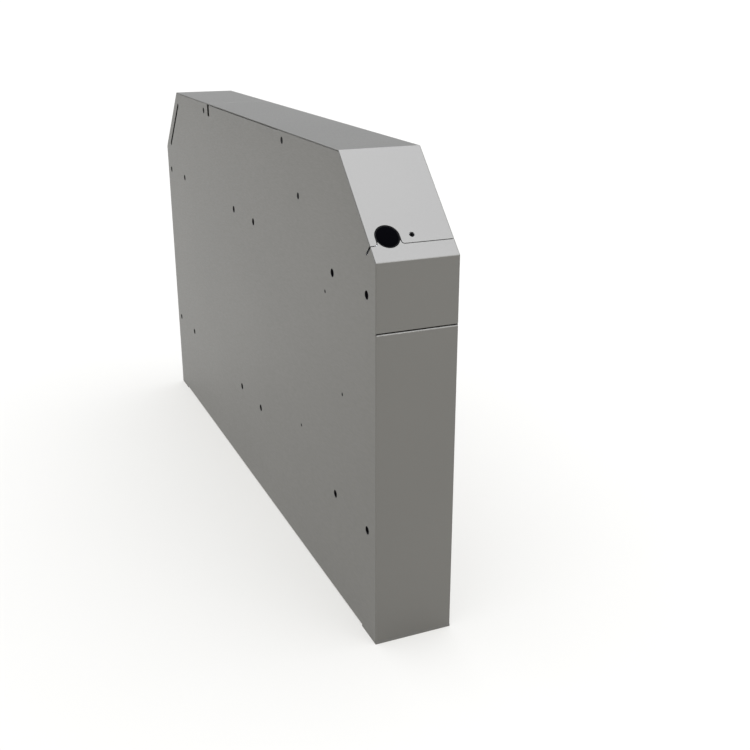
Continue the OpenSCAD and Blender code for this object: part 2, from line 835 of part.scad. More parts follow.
module lock_cam() {
    n = -lock_depth - 0.3 - cam_t;
    color(zinc) front_slope() translate([lock_x, reader_s, n]) difference() {
        union() {
            cylinder(r = 6, h = cam_t);
            translate([0, -6, 0]) cube([cam_l, 12, cam_t]);
        }
        translate([0, 0, -1]) cylinder(r = 3 + run_gap, h = cam_t + 2);
    }
}

module lock_cam_screw() {
    n = -lock_depth - 0.3 - cam_t - 3;
    color(zinc) front_slope() translate([lock_x, reader_s, n]) difference() {
        cylinder(r = 4.5, h = 3);
        translate([0, 0, -eps]) cylinder(r = 1.8, h = 1.5, $fn = 6);
    }
}

module prop_bracket() {
    x0 = prop_x - 8;
    color(zinc) union() {
        span(x0, x0 + 2, prop_y - 9, prop_y + 9, prop_z - 6, under_z);
        span(x0 - 12, x0 + 1, prop_y - 9, prop_y + 9, under_z - 2, under_z);
        rod_x(x0 + 1, prop_x + 3.6, prop_y, prop_z, 2);
    }
}

module prop_rod() {
    color(zinc) difference() {
        union() {
            rod_x(prop_x - 2.5, prop_x + 2.5, prop_y, prop_z, 6);
            translate([prop_x, prop_y - cab_l/2 - 5, prop_z]) rotate([90, 0, 0])
                cylinder(r = prop_r, h = prop_l - 15);
        }
        rod_x(prop_x - 4, prop_x + 4, prop_y, prop_z, 2 + run_gap);
    }
}

module prop_foot() {
    color(rubber) translate([prop_x, prop_y - cab_l/2 - prop_l, prop_z]) rotate([-90, 0, 0])
        difference() {
            cylinder(r = 4.5, h = 20);
            translate([0, 0, 10]) cylinder(r = prop_r, h = 11);
        }
}

// Spring clip under the lid that holds the stowed prop rod, open at its lower side
module prop_clip() {
    y0 = prop_y - 252;
    r = prop_r + touch;
    color(inner_steel) difference() {
        span(prop_x - r - 1.2, prop_x + r + 1.2, y0, y0 + 12, prop_z - 2.5, under_z);
        translate([prop_x, y0 - 1 - cab_l/2, prop_z]) rotate([-90, 0, 0]) cylinder(r = r, h = 14);
        span(prop_x - r, prop_x + r, y0 - 1, y0 + 13, prop_z - 5, prop_z);
    }
}

floor_plates();
base_frame();
corner_posts();
left_side_skin();
right_side_skin();
front_lower_cover();
front_upper_cover();
rear_lower_cover();
rear_hood();
cover_clips();
strike_plate();
lid_gaskets();
lid_rails();
hinge_rail();
hinge_ears();
hinge_pin();
upper_sensor_channel();
lower_sensor_channel();
upper_sensor_bodies();
lower_sensor_bodies();
sensor_lenses();
sensor_locknuts();
blanking_plugs();
beeper();
side_screws();
plate_spacers();
plate_screws();
equipment_plate();
board_spacers();
controller_board();
board_components();
power_supply();
power_supply_terminals();
din_rail();
terminal_blocks();
circuit_breaker();
reader_window();
reader_housing();
reader_board();
reader_bracket();
status_diffuser();
status_light_board();
status_light_housing();
gland_plate();
cable_glands();
earth_stud();
service_lid();
lid_stiffener();
lid_knuckles();
lock_housing();
prop_bracket();
prop_clip();
lock_plug();
lock_cam();
lock_cam_screw();
prop_rod();
prop_foot();
breaker_toggle();
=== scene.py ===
"""Looks of the visitor counter turnstile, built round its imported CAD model, in metres."""
import json
import math

import bmesh
import bpy
from bpy.props import FloatProperty, FloatVectorProperty, PointerProperty
from bpy.types import Operator, Panel, PropertyGroup
from mathutils import Matrix, Vector
from mathutils.geometry import tessellate_polygon


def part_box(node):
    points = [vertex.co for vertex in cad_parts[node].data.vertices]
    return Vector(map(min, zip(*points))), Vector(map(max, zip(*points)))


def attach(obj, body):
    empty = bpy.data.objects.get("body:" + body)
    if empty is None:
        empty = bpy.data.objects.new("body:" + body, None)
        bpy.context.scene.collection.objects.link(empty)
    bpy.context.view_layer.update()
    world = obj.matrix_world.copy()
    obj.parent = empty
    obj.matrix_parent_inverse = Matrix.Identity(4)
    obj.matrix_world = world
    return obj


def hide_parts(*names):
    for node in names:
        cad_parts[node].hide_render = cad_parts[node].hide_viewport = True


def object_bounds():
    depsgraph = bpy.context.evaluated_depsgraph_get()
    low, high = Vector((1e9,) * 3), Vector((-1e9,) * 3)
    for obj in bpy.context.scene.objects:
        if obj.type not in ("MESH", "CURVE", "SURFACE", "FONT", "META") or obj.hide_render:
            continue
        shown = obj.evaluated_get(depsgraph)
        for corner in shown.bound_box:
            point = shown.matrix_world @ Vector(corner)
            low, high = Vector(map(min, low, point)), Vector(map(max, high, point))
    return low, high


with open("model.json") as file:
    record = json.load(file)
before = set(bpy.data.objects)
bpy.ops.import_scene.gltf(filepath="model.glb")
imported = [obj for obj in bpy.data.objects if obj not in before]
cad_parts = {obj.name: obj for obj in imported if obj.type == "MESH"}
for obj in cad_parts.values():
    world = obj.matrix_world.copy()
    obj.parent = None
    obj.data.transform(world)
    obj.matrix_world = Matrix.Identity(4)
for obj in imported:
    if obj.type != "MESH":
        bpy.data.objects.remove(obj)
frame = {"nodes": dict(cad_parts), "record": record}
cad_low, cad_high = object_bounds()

bl_info = {
    "name": "Visitor Counter Turnstile",
    "version": (1, 0, 0),
    "blender": (4, 5, 0),
    "location": "3D View > Sidebar > Turnstile",
    "description": "Builds the folded steel skin, fittings and finishes of a lane cabinet",
    "category": "Add Mesh",
}

MM = 0.001
ARC_STEPS = 6
ROUND_STEPS = 48
TAN_HALF = math.tan(math.pi / 8)     # corner offset of a 45 degree fold
ROOT2 = math.sqrt(2)

# Driving places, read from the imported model
FRONT = cad_low.y
REAR = cad_high.y
HALF_W = cad_high.x
TOP = cad_high.z
SKIN_LOW, SKIN_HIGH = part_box("left_side_skin")
SHEET = SKIN_HIGH.x - SKIN_LOW.x
HOOD_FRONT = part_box("rear_hood")[0].y
LID_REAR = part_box("service_lid")[1].y
END_SEAM_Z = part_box("rear_hood")[0].z
LOWER_COVER_LOW, LOWER_COVER_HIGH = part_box("front_lower_cover")
LIP = LOWER_COVER_HIGH.y - LOWER_COVER_LOW.y
LIP_HALF_W = HALF_W - 2 * SHEET      # a lip passes between the side sheets

# Small fits, corners and edges
PLAY = 0.05 * MM             # round the neck of a fitting
SKIN_PLAY = 0.1 * MM         # from a side sheet to the turned edge of a cover
NOTCH_PLAY = 0.5 * MM        # from the reader's opening to the lid's notch
SLIT_AHEAD = 6 * MM          # from the middle of the relief slit to the rear hood
COVER_CORNER = 0.5 * MM
LID_CORNER = 0.8 * MM
SEAM_CORNER = 1 * MM
PLATE_CORNER = 1 * MM
FINE_BREAK = 0.15 * MM
SOFT_BREAK = 0.3 * MM
WINDOW_ANGLE = 50            # degrees from which an edge of a dark window is sharp


# ---------------------------------------------------------------- sizes and colours


class TurnstileSizes(PropertyGroup):
    """Sizes of the sheet metal and its openings."""
    slope_drop: FloatProperty(
        name="Slope drop", description="Drop and run of each sloped end",
        default=181 * MM, unit="LENGTH")
    edge_radius: FloatProperty(
        name="Edge radius", description="Outer radius where a cover turns over the side",
        default=2.6 * MM, unit="LENGTH")
    fold_radius: FloatProperty(
        name="Fold radius", description="Outer radius of a fold across the cabinet",
        default=4 * MM, unit="LENGTH")
    seam_fold: FloatProperty(
        name="Seam fold", description="Outer radius of the top fold of a lower cover",
        default=4.2 * MM, unit="LENGTH")
    lip_radius: FloatProperty(
        name="Lip radius", description="Outer radius of the lower lip of an upper cover",
        default=1.8 * MM, unit="LENGTH")
    edge_break: FloatProperty(
        name="Edge break", description="Small bevel on the cut edges of the sheet",
        default=0.2 * MM, unit="LENGTH")
    seam: FloatProperty(
        name="Seam", description="Gap between two sheets", default=1.5 * MM, unit="LENGTH")
    lid_gap: FloatProperty(
        name="Lid gap", description="Gap under the lid edge", default=0.5 * MM, unit="LENGTH")
    vent_gap: FloatProperty(
        name="Vent gap", description="Gap of the vent under the left lid edge",
        default=1.3 * MM, unit="LENGTH")
    vent_start: FloatProperty(
        name="Vent start", description="Start of the vent from the front",
        default=556 * MM, unit="LENGTH")
    slit_width: FloatProperty(
        name="Relief slit width", description="Width of the slit beside the lid hinge",
        default=18.5 * MM, unit="LENGTH")
    slit_depth: FloatProperty(
        name="Relief slit depth", description="Depth of the slit below the top",
        default=34 * MM, unit="LENGTH")
    corner_slit_width: FloatProperty(
        name="Corner slit width", description="Width of the short slit at the slope seam",
        default=5.5 * MM, unit="LENGTH")
    corner_slit_depth: FloatProperty(
        name="Corner slit depth", description="Depth of the short slit at the slope seam",
        default=28 * MM, unit="LENGTH")
    lid_seam_up: FloatProperty(
        name="Lid seam", description="Distance of the lid seam up the slope from the fold",
        default=36.5 * MM, unit="LENGTH")
    tongue_drop: FloatProperty(
        name="Tongue drop", description="How far the tongue's tips lie under the reader's axis",
        default=10.3 * MM, unit="LENGTH")
    tongue_root: FloatProperty(
        name="Tongue root", description="Radius at the foot of the tongue round the reader",
        default=6.5 * MM, unit="LENGTH")
    notch_corner: FloatProperty(
        name="Notch corner", description="Radius where the lid's notch meets its front edge",
        default=5 * MM, unit="LENGTH")
    anchor_hole: FloatProperty(
        name="Anchor hole", description="Diameter of an anchor hole in a floor plate",
        default=14 * MM, unit="LENGTH")
    anchor_span: FloatProperty(
        name="Anchor span", description="Distance between the two anchor holes of a plate",
        default=100 * MM, unit="LENGTH")
    sensor_hole: FloatProperty(
        name="Sensor opening", description="Diameter of a sensor opening",
        default=18 * MM, unit="LENGTH")
    plug_hole: FloatProperty(
        name="Plug opening", description="Diameter of a blanking plug's opening",
        default=16 * MM, unit="LENGTH")
    beeper_hole: FloatProperty(
        name="Beeper opening", description="Diameter of the beeper's opening",
        default=15 * MM, unit="LENGTH")
    screw_hole: FloatProperty(
        name="Screw head", description="Diameter of a side screw's head",
        default=8 * MM, unit="LENGTH")
    reader_hole: FloatProperty(
        name="Reader opening", description="Diameter of the reader opening",
        default=50 * MM, unit="LENGTH")
    lock_hole: FloatProperty(
        name="Lock opening", description="Diameter of the lock opening in the lid",
        default=11 * MM, unit="LENGTH")
    light_length: FloatProperty(
        name="Light slot length", description="Length of the light slot",
        default=196 * MM, unit="LENGTH")
    light_width: FloatProperty(
        name="Light slot width", description="Width of the light slot",
        default=11.2 * MM, unit="LENGTH")


class TurnstileColours(PropertyGroup):
    """Base colours of the finishes."""
    steel: FloatVectorProperty(
        name="Satin steel", description="Colour of the cabinet's satin steel",
        default=(0.188, 0.184, 0.172), subtype="COLOR", size=3)
    zinc: FloatVectorProperty(
        name="Zinc", description="Colour of zinc plate and galvanised sheet",
        default=(0.62, 0.63, 0.65), subtype="COLOR", size=3)
    black: FloatVectorProperty(
        name="Black", description="Colour of black plastic fittings",
        default=(0.006, 0.006, 0.0065), subtype="COLOR", size=3)
    board: FloatVectorProperty(
        name="Circuit board", description="Colour of the solder resist",
        default=(0.012, 0.13, 0.05), subtype="COLOR", size=3)
    floor: FloatVectorProperty(
        name="Floor", description="Colour of the floor of the stage",
        default=(0.22, 0.217, 0.207), subtype="COLOR", size=3)


def sizes():
    """The cabinet's sizes in the current scene."""
    return bpy.context.scene.turnstile_sizes


def colours():
    """The cabinet's colours in the current scene."""
    return bpy.context.scene.turnstile_colours


# ---------------------------------------------------------------- places from the frame


def loose_parts(node):
    """Boxes (low, high) of the separate solids in a CAD node, in a fixed order."""
    bm = bmesh.new()
    bm.from_mesh(frame["nodes"][node].data)
    bmesh.ops.remove_doubles(bm, verts=bm.verts, dist=1e-5)
    seen = set()
    boxes = []
    for start in bm.verts:
        if start in seen:
            continue
        seen.add(start)
        stack = [start]
        low = start.co.copy()
        high = start.co.copy()
        while stack:
            vert = stack.pop()
            for axis in range(3):
                low[axis] = min(low[axis], vert.co[axis])
                high[axis] = max(high[axis], vert.co[axis])
            for edge in vert.link_edges:
                other = edge.other_vert(vert)
                if other not in seen:
                    seen.add(other)
                    stack.append(other)
        boxes.append((low, high))
    bm.free()
    return sorted(boxes, key=lambda b: tuple(round(c, 4) for c in b[0]))


def centres(node):
    """Centres of the separate solids in a CAD node."""
    return [(low + high) / 2 for low, high in loose_parts(node)]


def fold_z():
    """Height of the front and rear folds."""
    return TOP - sizes().slope_drop


def front_slope_point(up, depth):
    """(y, z) at a distance up the front slope from the fold, and a depth under it."""
    return Vector((FRONT + (up + depth) / ROOT2, fold_z() + (up - depth) / ROOT2))


def on_front_slope(x, up, out):
    """Places a piece's own x, y, z on the front slope: across, up the slope, outwards."""
    y, z = front_slope_point(up, -out)
    return Matrix.Translation((x, y, z)) @ Matrix.Rotation(math.pi / 4, 4, "X")


def up_front_slope(point):
    """Distance of a point up the front slope from the fold."""
    return ((point.y - FRONT) + (point.z - fold_z())) / ROOT2


def on_left_side(low, high):
    """Places a piece's own axes at its face on the left side: along, up, outwards."""
    middle = (low + high) / 2
    axes = Matrix(((0, 0, -1), (-1, 0, 0), (0, 1, 0))).to_4x4()
    return Matrix.Translation((low.x, middle.y, middle.z)) @ axes


# ---------------------------------------------------------------- outlines


def rounded(corners, radii, steps=ARC_STEPS):
    """A closed outline with an arc of the given radius at each corner."""
    points = []
    count = len(corners)
    for i, corner in enumerate(corners):
        radius = radii[i] if isinstance(radii, (list, tuple)) else radii
        here = Vector(corner)
        if radius <= 0:
            points.append(here)
            continue
        back = (Vector(corners[i - 1]) - here).normalized()
        ahead = (Vector(corners[(i + 1) % count]) - here).normalized()
        half = back.angle(ahead) / 2
        reach = radius / math.tan(half)
        middle = here + (back + ahead).normalized() * radius / math.sin(half)
        first = here + back * reach - middle
        last = here + ahead * reach - middle
        sweep = first.angle_signed(last)
        for k in range(steps + 1):
            turn = Matrix.Rotation(-sweep * k / steps, 2)
            points.append(middle + turn @ first)
    return points


def circle(x, y, radius, steps=ROUND_STEPS):
    """A closed round outline."""
    return [Vector((x + radius * math.cos(2 * math.pi * k / steps),
                    y + radius * math.sin(2 * math.pi * k / steps))) for k in range(steps)]


def arc(x, y, radius, start, end, steps=ROUND_STEPS // 2):
    """Points of an arc between two angles."""
    angles = [start + (end - start) * k / steps for k in range(steps + 1)]
    return [(x + radius * math.cos(a), y + radius * math.sin(a)) for a in angles]


def polygon(sides, radius, turn=0.0):
    """A closed regular outline with that many sides."""
    return [Vector((radius * math.cos(turn + 2 * math.pi * k / sides),
                    radius * math.sin(turn + 2 * math.pi * k / sides))) for k in range(sides)]


def slot_outline(middle, along, length, width):
    """A closed outline of a slot with round ends."""
    along = Vector(along).normalized()
    across = Vector((-along.y, along.x))
    half = (length - width) / 2
    points = []
    for end, sign in ((half, 1), (-half, -1)):
        for k in range(2 * ARC_STEPS + 1):
            angle = -math.pi / 2 + math.pi * k / (2 * ARC_STEPS)
            points.append(Vector(middle) + along * (end + sign * width / 2 * math.cos(angle))
                          + across * sign * width / 2 * math.sin(angle))
    return points


def area_of(loop):
    """Signed area of a closed outline, positive when it runs anticlockwise."""
    total = 0.0
    for i, point in enumerate(loop):
        total += loop[i - 1].x * point.y - point.x * loop[i - 1].y
    return total / 2


def inset(loop, amount):
    """The outline moved to its left by a small amount, mitred at its corners."""
    points = []
    count = len(loop)
    for i, here in enumerate(loop):
        before = (here - loop[i - 1])
        after = (loop[(i + 1) % count] - here)
        normal_a = Vector((-before.y, before.x)).normalized()
        normal_b = Vector((-after.y, after.x)).normalized()
        normal = (normal_a + normal_b)
        if normal.length < 1e-6:
            normal = normal_b
        normal.normalize()
        lean = max(0.5, normal.dot(normal_b))
        points.append(here + normal * amount / lean)
    return points


# ---------------------------------------------------------------- mesh building


def sheet_mesh(outline, holes, thickness, edge_break):
    """A flat sheet with holes: face at z = 0, back at z = -thickness, bevelled face edges."""
    loops = [outline if area_of(outline) > 0 else outline[::-1]]
    loops += [hole if area_of(hole) < 0 else hole[::-1] for hole in holes]
    faces_in = [inset(loop, edge_break) for loop in loops]
    bm = bmesh.new()
    rings = []
    for loop, face_loop in zip(loops, faces_in):
        levels = ((face_loop, 0.0), (loop, -edge_break), (loop, edge_break - thickness),
                  (face_loop, -thickness))
        rings.append([[bm.verts.new((p.x, p.y, z)) for p in level] for level, z in levels])
    for ring in rings:
        for upper, lower in zip(ring, ring[1:]):
            count = len(upper)
            for i in range(count):
                j = (i + 1) % count
                bm.faces.new((upper[i], lower[i], lower[j], upper[j]))
    flat = [[(p.x, p.y, 0.0) for p in loop] for loop in faces_in]
    top = [vert for ring in rings for vert in ring[0]]
    bottom = [vert for ring in rings for vert in ring[3]]
    for a, b, c in tessellate_polygon(flat):
        if len({a, b, c}) == 3:
            bm.faces.new((top[a], top[b], top[c]))
            bm.faces.new((bottom[c], bottom[b], bottom[a]))
    bmesh.ops.recalc_face_normals(bm, faces=bm.faces)
    return bm


def cut_across(bm, axis, stations):
    """Cuts the mesh at each station along x (axis 0) or y (axis 1)."""
    normal = Vector((1, 0, 0)) if axis == 0 else Vector((0, 1, 0))
    for station in stations:
        everything = list(bm.verts) + list(bm.edges) + list(bm.faces)
        bmesh.ops.bisect_plane(
            bm, geom=everything, dist=1e-7, plane_co=normal * station, plane_no=normal)


def finish_mesh(name, bm, material, body, replaces=(), angle=35.0):
    """Turns a mesh into a piece that rides on a body, with its material and its CAD nodes."""
    bmesh.ops.remove_doubles(bm, verts=bm.verts, dist=2e-6)
    bmesh.ops.dissolve_degenerate(bm, dist=1e-6, edges=bm.edges)
    mesh = bpy.data.meshes.new(name)
    bm.to_mesh(mesh)
    bm.free()
    mesh.polygons.foreach_set("use_smooth", [True] * len(mesh.polygons))
    mesh.set_sharp_from_angle(angle=math.radians(angle))
    mesh.materials.append(material)
    piece = bpy.data.objects.new(name, mesh)
    bpy.context.scene.collection.objects.link(piece)
    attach(piece, body)
    if replaces:
        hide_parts(*replaces)
    return piece


class FoldLine:
    """The outer surface of a folded sheet, as a (y, z) line with round folds."""

    def __init__(self, corners, radii):
        self.parts = []
        self.leg_start = []
        corners = [Vector(c) for c in corners]
        legs = [b - a for a, b in zip(corners, corners[1:])]
        angles = [math.atan2(leg.y, leg.x) for leg in legs]
        reach_before = 0.0
        at = 0.0
        for i, leg in enumerate(legs):
            turn = 0.0
            if i + 1 < len(legs):
                turn = (angles[i + 1] - angles[i] + math.pi) % (2 * math.pi) - math.pi
            radius = radii[i] if turn else 0.0
            reach = radius * math.tan(abs(turn) / 2)
            length = leg.length - reach_before - reach
            start = corners[i] + leg.normalized() * reach_before
            self.leg_start.append(at - reach_before)
            self.parts.append((at, length, start, angles[i], 0.0, 0.0))
            at += length
            if turn:
                self.parts.append((at, radius * abs(turn), start + leg.normalized() * length,
                                   angles[i], turn, radius))
                at += radius * abs(turn)
            reach_before = reach
        self.length = at

    def leg(self, index, distance):
        """Developed position at a distance from the corner where a leg starts."""
        return self.leg_start[index] + distance

    def folds(self):
        """Developed start and end of each fold."""
        return [(part[0], part[0] + part[1]) for part in self.parts if part[4]]

    def place(self, u, depth):
        """(y, z) of a point at developed position u and a depth under the outer surface."""
        chosen = self.parts[0]
        for part in self.parts:
            if u >= part[0] - 1e-9:
                chosen = part
        at, length, start, angle, turn, radius = chosen
        along = u - at
        if not turn:
            outward = Vector((-math.sin(angle), math.cos(angle)))
            ahead = Vector((math.cos(angle), math.sin(angle)))
            return start + ahead * along - outward * depth
        outward = Vector((-math.sin(angle), math.cos(angle)))
        middle = start - outward * radius
        swing = angle + turn * along / length
        outward = Vector((-math.sin(swing), math.cos(swing)))
        return middle + outward * (radius - depth)


def stations_of(start, end, steps=ARC_STEPS, margin=0.6 * MM):
    """Cuts that let a bend be smooth: across the bend and just outside it."""
    inner = [start + (end - start) * k / steps for k in range(steps + 1)]
    return [start - margin] + inner + [end + margin]


def developed_half_width(flange=0.1 * MM):
    """Half width of a wrapped cover before its edges are turned over."""
    radius = sizes().edge_radius
    return HALF_W - radius + radius * math.pi / 2 + flange


def wrap_width(w, depth):
    """(x, depth) of a point of a cover whose long edges turn over the side sheets."""
    radius = sizes().edge_radius
    start = HALF_W - radius
    side = math.copysign(1, w)
    over = abs(w) - start
    if over <= 0:
        return w, depth
    quarter = radius * math.pi / 2
    if over >= quarter:
        return side * (HALF_W - depth), radius + over - quarter
    angle = over / radius
    return (side * (start + (radius - depth) * math.sin(angle)),
            radius - (radius - depth) * math.cos(angle))


def folded_cover(name, line, outline, holes, material, body, replaces):
    """A cover cut flat, with its long edges turned over and folded along the line."""
    bm = sheet_mesh(outline, holes, SHEET, sizes().edge_break)
    for start, end in line.folds():
        cut_across(bm, 1, stations_of(start, end))
    radius = sizes().edge_radius
    bend = stations_of(HALF_W - radius, HALF_W - radius + radius * math.pi / 2)
    for side in (-1, 1):
        cut_across(bm, 0, [side * w for w in bend])
    for vert in bm.verts:
        x, depth = wrap_width(vert.co.x, -vert.co.z)
        y, z = line.place(vert.co.y, depth)
        vert.co = (x, y, z)
    bmesh.ops.recalc_face_normals(bm, faces=bm.faces)
    return finish_mesh(name, bm, material, body, replaces)


def turned(profile, matrix, steps=ROUND_STEPS):
    """A turned solid from a (radius, height) profile, first and last points on the axis."""
    bm = bmesh.new()
    rings = []
    for radius, height in profile:
        if radius < 1e-7:
            rings.append([bm.verts.new((0, 0, height))])
            continue
        rings.append([bm.verts.new((p.x, p.y, height)) for p in circle(0, 0, radius, steps)])
    for lower, upper in zip(rings, rings[1:]):
        for k in range(steps):
            j = (k + 1) % steps
            if len(lower) == 1:
                bm.faces.new((lower[0], upper[j], upper[k]))
            elif len(upper) == 1:
                bm.faces.new((lower[k], lower[j], upper[0]))
            else:
                bm.faces.new((lower[k], lower[j], upper[j], upper[k]))
    bmesh.ops.recalc_face_normals(bm, faces=bm.faces)
    bmesh.ops.transform(bm, matrix=matrix, verts=bm.verts)
    return bm


def join(meshes):
    """One mesh from several."""
    whole = bmesh.new()
    scratch = bpy.data.meshes.new("scratch")
    for bm in meshes:
        bm.to_mesh(scratch)
        bm.free()
        whole.from_mesh(scratch)
        scratch.clear_geometry()
    bpy.data.meshes.remove(scratch)
    return whole


def moved(bm, matrix):
    """The mesh after a move."""
    bmesh.ops.transform(bm, matrix=matrix, verts=bm.verts)
    return bm


# ---------------------------------------------------------------- finishes


class Finish:
    """A node material with a principled shader and short ways to add texture to it."""

    def __init__(self, name, colour, metallic, roughness):
        self.material = bpy.data.materials.new(name)
        self.material.use_nodes = True
        self.nodes = self.material.node_tree.nodes
        self.links = self.material.node_tree.links
        self.shader = self.nodes["Principled BSDF"]
        self.shader.inputs["Base Color"].default_value = (*colour, 1)
        self.shader.inputs["Metallic"].default_value = metallic
        self.shader.inputs["Roughness"].default_value = roughness
        self.coordinates = self.nodes.new("ShaderNodeTexCoord").outputs["Object"]

    def noise(self, scale, detail=3.0, stretch=(1, 1, 1)):
        """Noise of a scale per metre, stretched along the axes."""
        mapping = self.nodes.new("ShaderNodeMapping")
        mapping.inputs["Scale"].default_value = stretch
        texture = self.nodes.new("ShaderNodeTexNoise")
        texture.inputs["Scale"].default_value = scale
        texture.inputs["Detail"].default_value = detail
        self.links.new(self.coordinates, mapping.inputs["Vector"])
        self.links.new(mapping.outputs["Vector"], texture.inputs["Vector"])
        return texture.outputs["Fac"]

    def cells(self, scale):
        """Cells of a scale per metre, each with its own grey."""
        texture = self.nodes.new("ShaderNodeTexVoronoi")
        texture.inputs["Scale"].default_value = scale
        self.links.new(self.coordinates, texture.inputs["Vector"])
        split = self.nodes.new("ShaderNodeSeparateColor")
        self.links.new(texture.outputs["Color"], split.inputs["Color"])
        return split.outputs["Red"]

    def spread(self, factor, low, high):
        """The factor's range stretched to run from low to high."""
        scale = self.nodes.new("ShaderNodeMapRange")
        scale.inputs["From Min"].default_value = 0.3
        scale.inputs["From Max"].default_value = 0.7
        scale.inputs["To Min"].default_value = low
        scale.inputs["To Max"].default_value = high
        self.links.new(factor, scale.inputs["Value"])
        return scale.outputs["Result"]

    def colour_between(self, factor, first, second):
        """Base colour that runs between two colours."""
        ramp = self.nodes.new("ShaderNodeValToRGB")
        ramp.color_ramp.elements[0].position = 0.3
        ramp.color_ramp.elements[1].position = 0.7
        ramp.color_ramp.elements[0].color = (*first, 1)
        ramp.color_ramp.elements[1].color = (*second, 1)
        self.links.new(factor, ramp.inputs["Fac"])
        self.links.new(ramp.outputs["Color"], self.shader.inputs["Base Color"])

    def roughness_between(self, factor, low, high):
        """Roughness that runs between two values."""
        self.links.new(self.spread(factor, low, high), self.shader.inputs["Roughness"])

    def bump(self, factor, height, strength=1.0):
        """Bump of a height in metres."""
        node = self.nodes.new("ShaderNodeBump")
        node.inputs["Distance"].default_value = height
        node.inputs["Strength"].default_value = strength
        self.links.new(factor, node.inputs["Height"])
        self.links.new(node.outputs["Normal"], self.shader.inputs["Normal"])


def scaled(colour, factor):
    """A colour made lighter or darker."""
    return tuple(min(1.0, c * factor) for c in colour)


def satin_steel():
    """Fine-ground satin steel of the cabinet's skin."""
    base = tuple(colours().steel)
    finish = Finish("satin_steel", base, 1.0, 0.42)
    cloud = finish.noise(2.2, 2.0)
    finish.colour_between(cloud, scaled(base, 0.975), scaled(base, 1.025))
    grain = finish.noise(900, 2.0, (1, 0.06, 1))
    finish.roughness_between(grain, 0.38, 0.46)
    finish.bump(grain, 0.02 * MM, 0.25)
    return finish.material


def galvanised_steel():
    """Galvanised sheet with its crystal pattern."""
    base = tuple(colours().zinc)
    finish = Finish("galvanised_steel", base, 0.9, 0.45)
    spangle = finish.cells(110)
    finish.colour_between(spangle, scaled(base, 0.8), scaled(base, 1.05))
    finish.roughness_between(spangle, 0.36, 0.56)
    finish.bump(finish.noise(600), 0.02 * MM, 0.3)
    return finish.material


def zinc_plate():
    """Bright zinc plate on small turned and pressed parts."""
    base = scaled(tuple(colours().zinc), 1.12)
    finish = Finish("zinc_plate", base, 1.0, 0.28)
    grain = finish.noise(1500, 3.0)
    finish.colour_between(finish.noise(60), scaled(base, 0.92), scaled(base, 1.04))
    finish.roughness_between(grain, 0.22, 0.36)
    finish.bump(grain, 0.01 * MM, 0.3)
    return finish.material


def black_plastic():
    """Moulded black plastic with a fine spark texture."""
    base = tuple(colours().black)
    finish = Finish("black_plastic", base, 0.0, 0.5)
    finish.shader.inputs["Specular IOR Level"].default_value = 0.03
    grain = finish.noise(2600, 2.0)
    finish.colour_between(finish.noise(90), scaled(base, 0.8), scaled(base, 1.4))
    finish.roughness_between(grain, 0.42, 0.6)
    finish.bump(grain, 0.03 * MM, 0.4)
    return finish.material


def smoked_acrylic():
    """Polished dark acrylic that passes only infrared light."""
    finish = Finish("smoked_acrylic", (0.0015, 0.0015, 0.002), 0.0, 0.08)
    finish.shader.inputs["Specular IOR Level"].default_value = 0.0
    finish.roughness_between(finish.noise(120), 0.05, 0.12)
    return finish.material


def foam_rubber():
    """Closed-cell foam rubber of the seals."""
    finish = Finish("foam_rubber", (0.018, 0.018, 0.018), 0.0, 0.85)
    cells = finish.cells(1800)
    finish.colour_between(cells, (0.010, 0.010, 0.010), (0.028, 0.028, 0.028))
    finish.bump(cells, 0.15 * MM, 0.6)
    return finish.material


def circuit_board():
    """Green solder resist with copper areas showing faintly under it."""
    base = tuple(colours().board)
    finish = Finish("circuit_board", base, 0.0, 0.32)
    areas = finish.cells(260)
    finish.colour_between(areas, scaled(base, 0.75), scaled(base, 1.5))
    finish.bump(areas, 0.03 * MM, 0.5)
    return finish.material


def aluminium_case():
    """Pressed aluminium case."""
    finish = Finish("aluminium_case", (0.68, 0.69, 0.70), 1.0, 0.35)
    grain = finish.noise(1200, 2.0, (1, 1, 0.05))
    finish.colour_between(grain, (0.62, 0.63, 0.64), (0.72, 0.73, 0.74))
    finish.roughness_between(grain, 0.28, 0.44)
    return finish.material


def grey_plastic():
    """Light grey moulded plastic of the terminals and the breaker."""
    finish = Finish("grey_plastic", (0.58, 0.58, 0.57), 0.0, 0.45)
    grain = finish.noise(2200, 2.0)
    finish.colour_between(finish.noise(70), (0.54, 0.54, 0.53), (0.61, 0.61, 0.60))
    finish.roughness_between(grain, 0.38, 0.55)
    finish.bump(grain, 0.02 * MM, 0.4)
    return finish.material


def plain_brass():
    """Turned brass."""
    finish = Finish("plain_brass", (0.72, 0.50, 0.20), 1.0, 0.3)
    grain = finish.noise(900)
    finish.colour_between(grain, (0.62, 0.42, 0.16), (0.78, 0.56, 0.24))
    finish.roughness_between(grain, 0.22, 0.4)
    return finish.material


MAKERS = {
    "cabinet_steel": satin_steel, "galvanised_sheet": galvanised_steel,
    "zinc_plated": zinc_plate, "black_fittings": black_plastic,
    "smoked_acrylic": smoked_acrylic, "rubber_seal": foam_rubber,
    "circuit_board": circuit_board, "perforated_case": aluminium_case,
    "light_grey_plastic": grey_plastic, "brass_stud": plain_brass,
}
_made = {}


def finish_of(slot):
    """The material of a slot, made once."""
    if slot not in _made:
        _made[slot] = MAKERS[slot]()
    return _made[slot]


# ---------------------------------------------------------------- the pieces


